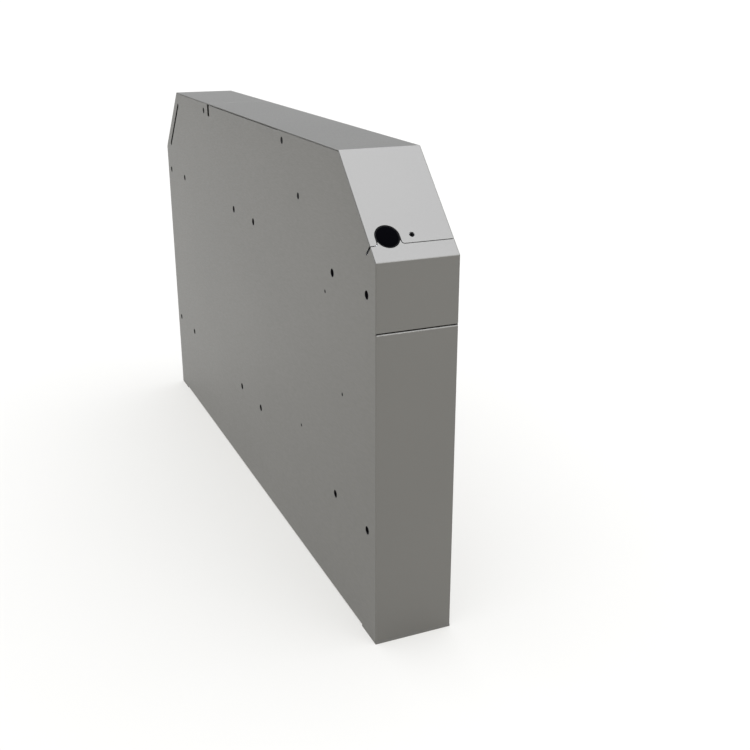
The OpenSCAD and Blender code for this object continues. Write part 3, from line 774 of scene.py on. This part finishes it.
def skin_outline(lid_gap, vent_gap):
    """Outline of a side sheet in (y, z), under the turned edges of the covers."""
    s = sizes()
    d = s.edge_radius + SKIN_PLAY
    under_lid = d + lid_gap
    under_vent = d + vent_gap
    half_slit = s.corner_slit_width / 2
    slit_middle = HOOD_FRONT - SLIT_AHEAD
    vent_y = FRONT + s.vent_start
    slit_front = slit_middle - s.slit_width / 2
    slit_rear = slit_middle + s.slit_width / 2
    slit_low = TOP - s.slit_depth
    low = SKIN_LOW.z
    under_fold = fold_z() - d * TAN_HALF
    foot = step = COVER_CORNER
    fold = 3 * MM
    mouth = 0.6 * MM
    corner_slit_end = 1.4 * MM
    relief_slit_end = 1.5 * MM
    corners = [
        (FRONT + d, low, foot), (FRONT + d, under_fold, fold),
        (*front_slope_point(s.lid_seam_up - half_slit, d), mouth),
        (*front_slope_point(s.lid_seam_up - half_slit, s.corner_slit_depth), corner_slit_end),
        (*front_slope_point(s.lid_seam_up + half_slit, s.corner_slit_depth), corner_slit_end),
        (*front_slope_point(s.lid_seam_up + half_slit, under_lid), mouth),
        (FRONT + s.slope_drop + under_lid * TAN_HALF, TOP - under_lid, fold),
        (slit_front, TOP - under_vent, mouth), (slit_front, slit_low, relief_slit_end),
        (slit_rear, slit_low, relief_slit_end), (slit_rear, TOP - d, mouth),
        (REAR - s.slope_drop - d * TAN_HALF, TOP - d, fold),
        (REAR - d, under_fold, fold), (REAR - d, low, foot)]
    if vent_gap != lid_gap:
        lid_fold = 7
        corners[lid_fold:lid_fold] = [(vent_y, TOP - under_lid, step),
                                      (vent_y, TOP - under_vent, step)]
    return rounded([c[:2] for c in corners], [c[2] for c in corners])


def side_sheet(name, side, outline, holes):
    """A flat side sheet, standing in the (y, z) plane at the left (-1) or right (1) side."""
    bm = sheet_mesh(outline, holes, SHEET, sizes().edge_break)
    for vert in bm.verts:
        y, z, depth = vert.co.x, vert.co.y, -vert.co.z
        vert.co = (side * (HALF_W - depth), y, z)
    bmesh.ops.recalc_face_normals(bm, faces=bm.faces)
    return finish_mesh(name, bm, finish_of("cabinet_steel"), "cabinet", [name])


class TURNSTILE_OT_side_sheets(Operator):
    """Cut the two side sheets with their sensor openings, slits and light slot"""
    bl_idname = "turnstile.side_sheets"
    bl_label = "Side sheets"

    def execute(self, context):
        s = sizes()
        holes = [circle(c.y, c.z, s.sensor_hole / 2) for c in centres("sensor_lenses")]
        holes += [circle(c.y, c.z, s.plug_hole / 2) for c in centres("blanking_plugs")]
        holes += [circle(c.y, c.z, s.beeper_hole / 2) for c in centres("beeper")]
        holes += [circle(c.y, c.z, s.screw_hole / 2) for c in centres("side_screws")]
        light = centres("status_diffuser")[0]
        holes.append(slot_outline((light.y, light.z), (1, -1), s.light_length, s.light_width))
        side_sheet("left_side_skin", -1, skin_outline(s.lid_gap, s.vent_gap), holes)
        side_sheet("right_side_skin", 1, skin_outline(s.lid_gap, s.lid_gap), [])
        return {"FINISHED"}


class TURNSTILE_OT_lower_covers(Operator):
    """Fold the lower covers of the front and rear ends"""
    bl_idname = "turnstile.lower_covers"
    bl_label = "Lower end covers"

    def execute(self, context):
        low = LOWER_COVER_LOW.z
        high = LOWER_COVER_HIGH.z
        wide = developed_half_width()
        ends = (
            ("front_lower_cover", [(FRONT, low), (FRONT, high), (FRONT + LIP, high)]),
            ("rear_lower_cover", [(REAR - LIP, high), (REAR, high), (REAR, low)]))
        for name, corners in ends:
            line = FoldLine(corners, [sizes().seam_fold])
            start, end = line.folds()[0]
            middle = (start + end) / 2
            bottom_first = name == "front_lower_cover"
            wide_span = (0, middle) if bottom_first else (middle, line.length)
            lip_end = line.length if bottom_first else 0
            outline = [(-wide, wide_span[0]), (wide, wide_span[0]), (wide, wide_span[1]),
                       (-wide, wide_span[1])]
            lip_points = [(LIP_HALF_W, middle), (LIP_HALF_W, lip_end),
                          (-LIP_HALF_W, lip_end), (-LIP_HALF_W, middle)]
            if bottom_first:
                outline = outline[:3] + lip_points + outline[3:]
            else:
                outline = outline[:1] + lip_points[::-1] + outline[1:]
            cover = rounded(outline, COVER_CORNER, 3)
            folded_cover(name, line, cover, [], finish_of("cabinet_steel"), "cabinet", [name])
        return {"FINISHED"}


def reader_place():
    """Sideways position and distance up the slope of the reader's axis."""
    middle = centres("reader_window")[0]
    return middle.x, up_front_slope(middle)


class TURNSTILE_OT_front_upper_cover(Operator):
    """Fold the upper front cover with the fixed strip and the tongue round the reader"""
    bl_idname = "turnstile.front_upper_cover"
    bl_label = "Upper front cover"

    def execute(self, context):
        s = sizes()
        reader_x, reader_up = reader_place()
        radius = s.reader_hole / 2
        line = FoldLine([(FRONT + LIP, END_SEAM_Z), (FRONT, END_SEAM_Z), (FRONT, fold_z()),
                         front_slope_point(reader_up, 0)], [s.lip_radius, s.fold_radius])
        wide = developed_half_width()
        lip_middle = sum(line.folds()[0]) / 2
        edge = line.leg(2, s.lid_seam_up - s.seam / 2)
        side = radius + NOTCH_PLAY - s.seam
        tip_up = reader_up - s.tongue_drop
        tip = line.leg(2, tip_up)
        tip_corner = 0.2 * MM
        lip = [(-LIP_HALF_W, lip_middle), (-LIP_HALF_W, 0), (LIP_HALF_W, 0),
               (LIP_HALF_W, lip_middle)]
        right = [(wide, lip_middle), (wide, edge), (reader_x + side, edge),
                 (reader_x + side, tip)]
        left = [(reader_x - side, tip), (reader_x - side, edge), (-wide, edge),
                (-wide, lip_middle)]
        start = math.asin((tip_up - reader_up) / radius)
        bite = arc(reader_x, line.leg(2, reader_up), radius, start, -math.pi - start)
        tongue_radii = [SEAM_CORNER, s.tongue_root, tip_corner]
        radii = [COVER_CORNER] * (len(lip) + 1) + tongue_radii + [0] * len(bite)
        radii += tongue_radii[::-1] + [COVER_CORNER]
        outline = rounded(lip + right + bite + left, radii)
        folded_cover("front_upper_cover", line, outline, [], finish_of("cabinet_steel"),
                     "cabinet", ["front_upper_cover"])
        return {"FINISHED"}


class TURNSTILE_OT_rear_hood(Operator):
    """Fold the fixed rear hood: top, rear slope and upper rear face"""
    bl_idname = "turnstile.rear_hood"
    bl_label = "Rear hood"

    def execute(self, context):
        line = FoldLine([(HOOD_FRONT, TOP), (REAR - sizes().slope_drop, TOP),
                         (REAR, fold_z()), (REAR, END_SEAM_Z), (REAR - LIP, END_SEAM_Z)],
                        [sizes().fold_radius] * 2 + [sizes().lip_radius])
        wide = developed_half_width()
        lip_middle = sum(line.folds()[-1]) / 2
        corners = [(-wide, 0), (wide, 0), (wide, lip_middle), (LIP_HALF_W, lip_middle),
                   (LIP_HALF_W, line.length), (-LIP_HALF_W, line.length),
                   (-LIP_HALF_W, lip_middle), (-wide, lip_middle)]
        outline = rounded(corners, COVER_CORNER, 3)
        folded_cover("rear_hood", line, outline, [], finish_of("cabinet_steel"), "cabinet",
                     ["rear_hood"])
        return {"FINISHED"}


class TURNSTILE_OT_service_lid(Operator):
    """Fold the long service lid with its notch round the reader and its lock opening"""
    bl_idname = "turnstile.service_lid"
    bl_label = "Service lid"

    def execute(self, context):
        s = sizes()
        reader_x, reader_up = reader_place()
        lock = centres("lock_plug")[0]
        start_up = s.lid_seam_up + s.seam / 2
        line = FoldLine([front_slope_point(start_up, 0), (FRONT + s.slope_drop, TOP),
                         (LID_REAR, TOP)], [s.fold_radius])
        wide = developed_half_width()
        side = s.reader_hole / 2 + NOTCH_PLAY
        middle = reader_up - start_up
        arch = arc(reader_x, middle, side, math.pi, 0)
        corners = [(-wide, 0), (reader_x - side, 0)] + arch
        corners += [(reader_x + side, 0), (wide, 0), (wide, line.length), (-wide, line.length)]
        radii = [LID_CORNER, s.notch_corner] + [0] * len(arch)
        radii += [s.notch_corner] + [LID_CORNER] * 3
        outline = rounded(corners, radii)
        holes = [circle(lock.x, middle, s.lock_hole / 2)]
        folded_cover("service_lid", line, outline, holes, finish_of("cabinet_steel"), "lid",
                     ["service_lid"])
        return {"FINISHED"}


class TURNSTILE_OT_floor_plates(Operator):
    """Cut the two floor plates with their anchor holes"""
    bl_idname = "turnstile.floor_plates"
    bl_label = "Floor plates"

    def execute(self, context):
        s = sizes()
        plates = []
        for low, high in loose_parts("floor_plates"):
            corners = [(low.x, low.y), (high.x, low.y), (high.x, high.y), (low.x, high.y)]
            middle_y = (low.y + high.y) / 2
            anchors = [circle(side * s.anchor_span / 2, middle_y, s.anchor_hole / 2)
                       for side in (-1, 1)]
            bm = sheet_mesh(rounded(corners, PLATE_CORNER), anchors, high.z - low.z, FINE_BREAK)
            plates.append(moved(bm, Matrix.Translation((0, 0, high.z))))
        finish_mesh("floor_plates", join(plates), finish_of("cabinet_steel"), "cabinet",
                    ["floor_plates"])
        return {"FINISHED"}


class TURNSTILE_OT_beam_sensors(Operator):
    """Turn the rims and the domed windows of the beam sensors"""
    bl_idname = "turnstile.beam_sensors"
    bl_label = "Beam sensors"

    def execute(self, context):
        rim = 1.3 * MM
        inner_break = 0.2 * MM
        dome_low = 1.2 * MM
        dome_height = 1 * MM
        rims = []
        windows = []
        for low, high in loose_parts("sensor_lenses"):
            radius = (high.z - low.z) / 2
            deep = high.x - low.x
            place = on_left_side(low, high)
            inner = radius - rim
            rims.append(turned([
                (inner, -deep), (radius, -deep), (radius, -SOFT_BREAK),
                (radius - SOFT_BREAK, 0), (inner + inner_break, 0), (inner, -inner_break),
                (inner, -deep)], place))
            lens = inner - PLAY
            dome = [(0, -deep), (lens, -deep), (lens, -dome_low)]
            for k in range(1, ARC_STEPS + 1):
                angle = math.pi / 2 * k / ARC_STEPS
                dome.append((lens * math.cos(angle),
                             dome_height * math.sin(angle) - dome_low))
            windows.append(turned(dome, place))
        finish_mesh("sensor_rims", join(rims), finish_of("black_fittings"), "cabinet", ())
        finish_mesh("sensor_windows", join(windows), finish_of("smoked_acrylic"), "cabinet",
                    ["sensor_lenses"], WINDOW_ANGLE)
        return {"FINISHED"}


class TURNSTILE_OT_reader(Operator):
    """Turn the reader's bezel and its dark window"""
    bl_idname = "turnstile.reader"
    bl_label = "Reader"

    def execute(self, context):
        x, up = reader_place()
        radius = sizes().reader_hole / 2 - 0.4 * MM
        inner = radius - 2.2 * MM
        deep = 3.5 * MM
        set_back = 0.2 * MM
        soft = 0.5 * MM
        glass = inner - 0.1 * MM
        glass_low = 0.6 * MM
        glass_edge = 0.35 * MM
        place = on_front_slope(x, up, -set_back)
        bezel = turned([
            (inner, -deep), (radius, -deep), (radius, -soft), (radius - soft, 0),
            (inner + SOFT_BREAK, 0), (inner, -SOFT_BREAK), (inner, -deep)],
            place, 2 * ROUND_STEPS)
        window = turned([
            (0, -deep), (glass, -deep), (glass, -glass_low), (glass - SOFT_BREAK, -glass_edge),
            (inner / 2, -SOFT_BREAK), (0, -SOFT_BREAK)], place, 2 * ROUND_STEPS)
        finish_mesh("reader_bezel", bezel, finish_of("black_fittings"), "cabinet", ())
        finish_mesh("reader_glass", window, finish_of("smoked_acrylic"), "cabinet",
                    ["reader_window"], WINDOW_ANGLE)
        return {"FINISHED"}


def driven_head(radius, socket, depth, length, edge_break):
    """A round head with a socket in its face: face at z = 0, and a solid shank behind."""
    face = sheet_mesh(circle(0, 0, radius), [socket], depth, edge_break)
    back = turned([(0, -length), (radius - edge_break, -length),
                   (radius, -length + edge_break), (radius, -depth), (0, -depth)],
                  Matrix.Identity(4))
    return join([face, back])


class TURNSTILE_OT_lid_lock(Operator):
    """Make the turning insert of the lid lock with its square socket"""
    bl_idname = "turnstile.lid_lock"
    bl_label = "Lid lock"

    def execute(self, context):
        lock = centres("lock_plug")[0]
        _, up = reader_place()
        radius = sizes().lock_hole / 2 - 0.4 * MM
        set_back = 1 * MM
        socket_half = 2.5 * MM
        socket_deep = 6 * MM
        length = 13.3 * MM
        spigot_r = 3 * MM
        spigot_end = 15.8 * MM
        socket = polygon(4, socket_half * ROOT2, math.pi / 4)
        head = driven_head(radius, socket, socket_deep, length, SOFT_BREAK)
        spigot = turned([(0, -spigot_end), (spigot_r, -spigot_end), (spigot_r, -length),
                         (0, -length)], Matrix.Identity(4))
        place = on_front_slope(lock.x, up, -set_back)
        finish_mesh("lock_plug", moved(join([head, spigot]), place),
                    finish_of("black_fittings"), "lock", ["lock_plug"])
        return {"FINISHED"}


class TURNSTILE_OT_side_fittings(Operator):
    """Make the blanking plugs, the beeper and the side screws"""
    bl_idname = "turnstile.side_fittings"
    bl_label = "Side fittings"

    def execute(self, context):
        black = finish_of("black_fittings")
        for name, mesh in (("blanking_plugs", self.plugs()), ("side_screws", self.screws()),
                           ("beeper", self.beeper())):
            finish_mesh(name, mesh, black, "cabinet", [name])
        return {"FINISHED"}

    def plugs(self):
        """Hollow push-in plugs with a dished face."""
        face = 2.2 * MM
        wall = 1.5 * MM
        length = 6 * MM
        rim = 1.6 * MM
        soft = 0.5 * MM
        dish = 0.4 * MM
        dish_middle = 0.6 * MM
        plugs = []
        for low, high in loose_parts("blanking_plugs"):
            r = (high.z - low.z) / 2
            plugs.append(turned([
                (0, -face), (r - wall, -face), (r - wall, -length), (r - SOFT_BREAK, -length),
                (r, -length + 1 * MM), (r, -soft), (r - soft, 0), (r - rim, 0),
                (r - rim - dish, -dish), (0, -dish_middle)], on_left_side(low, high)))
        return join(plugs)

    def screws(self):
        """Countersunk screws with a hexagon socket."""
        socket = 1.3 * MM
        screws = []
        for low, high in loose_parts("side_screws"):
            head = driven_head((high.z - low.z) / 2, polygon(6, socket), 1 * MM,
                               SHEET - SOFT_BREAK, FINE_BREAK)
            screws.append(moved(head, on_left_side(low, high)))
        return join(screws)

    def beeper(self):
        """A sounder can behind a round face with a ring of small ports."""
        low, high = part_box("beeper")
        front_r = sizes().beeper_hole / 2 - PLAY
        back_r = (high.z - low.z) / 2
        deep = high.x - low.x
        flange = 1.6 * MM
        soft = 0.8 * MM
        face_t = 1.2 * MM
        face_back = face_t - PLAY
        ring_r = 2.9 * MM
        ports = []
        for k in range(6):
            angle = k * math.pi / 3
            ports.append(circle(ring_r * math.cos(angle), ring_r * math.sin(angle),
                                0.65 * MM, 16))
        ports.append(circle(0, 0, 0.8 * MM, 16))
        face = sheet_mesh(circle(0, 0, front_r), ports, face_t, FINE_BREAK)
        can = turned([(0, -deep), (back_r - soft, -deep), (back_r, -deep + soft),
                      (back_r, -flange), (front_r, -flange), (front_r, -face_back),
                      (0, -face_back)], Matrix.Identity(4))
        return moved(join([face, can]), on_left_side(low, high))


class TURNSTILE_OT_status_light(Operator):
    """Cut the dark diffuser of the status light"""
    bl_idname = "turnstile.status_light"
    bl_label = "Status light"

    def execute(self, context):
        s = sizes()
        shrink = 0.6 * MM
        grow = 8 * MM
        front_t = 0.9 * MM
        back_t = 2 * MM
        back_depth = 0.7 * MM
        face = slot_outline((0, 0), (1, 1), s.light_length - shrink, s.light_width - shrink)
        flange = slot_outline((0, 0), (1, 1), s.light_length + grow, s.light_width + grow)
        front = sheet_mesh(face, [], front_t, SOFT_BREAK)
        back = moved(sheet_mesh(flange, [], back_t, SOFT_BREAK),
                     Matrix.Translation((0, 0, -back_depth)))
        place = on_left_side(*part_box("status_diffuser"))
        finish_mesh("status_diffuser", moved(join([front, back]), place),
                    finish_of("smoked_acrylic"), "cabinet", ["status_diffuser"])
        return {"FINISHED"}


class TURNSTILE_OT_inner_finishes(Operator):
    """Give every CAD piece that stays in view its node material"""
    bl_idname = "turnstile.inner_finishes"
    bl_label = "Inner finishes"

    def execute(self, context):
        for part in frame["record"]["subparts"]:
            node = frame["nodes"][part["node"]]
            node.data.materials.clear()
            node.data.materials.append(finish_of(part["material_slot"]))
        return {"FINISHED"}


def area_light(name, place, target, width, height, power):
    """A soft white rectangular light that faces a target, in metres and watts."""
    data = bpy.data.lights.new(name, "AREA")
    data.shape = "RECTANGLE"
    data.size = width
    data.size_y = height
    data.energy = power
    light = bpy.data.objects.new(name, data)
    light.location = place
    light.rotation_euler = (Vector(target) - Vector(place)).to_track_quat("-Z", "Y").to_euler()
    bpy.context.scene.collection.objects.link(light)


class TURNSTILE_OT_stage(Operator):
    """Set the floor, the soft light, the pale surroundings and the camera"""
    bl_idname = "turnstile.stage"
    bl_label = "Stage"

    def execute(self, context):
        floor_size = 1200
        floor_drop = 0.2 * MM
        bpy.ops.mesh.primitive_plane_add(size=floor_size, location=(0, 0, -floor_drop))
        floor = context.active_object
        floor.name = "floor"
        base = tuple(colours().floor)
        finish = Finish("pale_floor", base, 0.0, 0.9)
        finish.colour_between(finish.noise(1.5), scaled(base, 0.99), scaled(base, 1.01))
        finish.shader.inputs["Emission Color"].default_value = (*base, 1)
        finish.shader.inputs["Emission Strength"].default_value = 2.2
        floor.data.materials.append(finish.material)

        world = bpy.data.worlds.new("pale_surroundings")
        world.use_nodes = True
        nodes = world.node_tree.nodes
        links = world.node_tree.links
        lit = nodes["Background"]
        seen = nodes.new("ShaderNodeBackground")
        seen.inputs["Color"].default_value = (1, 1, 1, 1)
        split = nodes.new("ShaderNodeSeparateXYZ")
        height = nodes.new("ShaderNodeMapRange")
        height.interpolation_type = "SMOOTHSTEP"
        height.inputs["From Min"].default_value = 0.2
        height.inputs["From Max"].default_value = 0.9
        sky = nodes.new("ShaderNodeMix")
        sky.data_type = "RGBA"
        horizon, zenith, sky_colour = sky.inputs[6], sky.inputs[7], sky.outputs[2]
        horizon.default_value = (0.26, 0.257, 0.235, 1)
        zenith.default_value = (3.3, 3.38, 3.62, 1)
        choice = nodes.new("ShaderNodeMixShader")
        links.new(nodes.new("ShaderNodeTexCoord").outputs["Generated"], split.inputs["Vector"])
        links.new(split.outputs["Z"], height.inputs["Value"])
        links.new(height.outputs["Result"], sky.inputs[0])
        links.new(sky_colour, lit.inputs["Color"])
        links.new(nodes.new("ShaderNodeLightPath").outputs["Is Camera Ray"], choice.inputs[0])
        links.new(lit.outputs[0], choice.inputs[1])
        links.new(seen.outputs[0], choice.inputs[2])
        links.new(choice.outputs[0], nodes["World Output"].inputs["Surface"])
        context.scene.world = world
        context.scene.view_settings.view_transform = "Standard"

        area_light("front_softbox", place=(1.0, FRONT - 2.34, 1.9), target=(0, FRONT, 0.68),
                   width=1.5, height=1.0, power=14)

        azimuth = math.radians(-23.28)
        elevation = math.radians(20.26)
        camera_data = bpy.data.cameras.new("camera")
        camera_data.sensor_width = 36
        camera_data.lens = 49.3
        camera = bpy.data.objects.new("camera", camera_data)
        camera.location = (-0.8095, FRONT - 1.6755, 1.2763)
        camera.rotation_euler = (math.pi / 2 - elevation, 0, azimuth)
        context.scene.collection.objects.link(camera)
        context.scene.camera = camera
        return {"FINISHED"}


OPERATORS = (
    TURNSTILE_OT_stage, TURNSTILE_OT_inner_finishes, TURNSTILE_OT_side_sheets,
    TURNSTILE_OT_lower_covers, TURNSTILE_OT_front_upper_cover, TURNSTILE_OT_rear_hood,
    TURNSTILE_OT_service_lid, TURNSTILE_OT_floor_plates, TURNSTILE_OT_beam_sensors,
    TURNSTILE_OT_reader, TURNSTILE_OT_lid_lock, TURNSTILE_OT_side_fittings,
    TURNSTILE_OT_status_light)


class TURNSTILE_PT_panel(Panel):
    """Sidebar panel that lists the sizes, the colours and every piece"""
    bl_idname = "TURNSTILE_PT_panel"
    bl_label = "Turnstile"
    bl_space_type = "VIEW_3D"
    bl_region_type = "UI"
    bl_category = "Turnstile"

    def draw(self, context):
        column = self.layout.column()
        for group in (context.scene.turnstile_sizes, context.scene.turnstile_colours):
            for name in group.__annotations__:
                column.prop(group, name)
        for operator in OPERATORS:
            column.operator(operator.bl_idname)


CLASSES = (TurnstileSizes, TurnstileColours) + OPERATORS + (TURNSTILE_PT_panel,)


def register():
    """Registers the classes and the scene's settings."""
    for cls in CLASSES:
        bpy.utils.register_class(cls)
    bpy.types.Scene.turnstile_sizes = PointerProperty(type=TurnstileSizes)
    bpy.types.Scene.turnstile_colours = PointerProperty(type=TurnstileColours)


def unregister():
    """Removes the scene's settings and the classes."""
    del bpy.types.Scene.turnstile_colours
    del bpy.types.Scene.turnstile_sizes
    for cls in reversed(CLASSES):
        bpy.utils.unregister_class(cls)


def main():
    register()
    for operator in OPERATORS:
        group, name = operator.bl_idname.split(".")
        getattr(getattr(bpy.ops, group), name)()


if __name__ == "__main__":
    main()
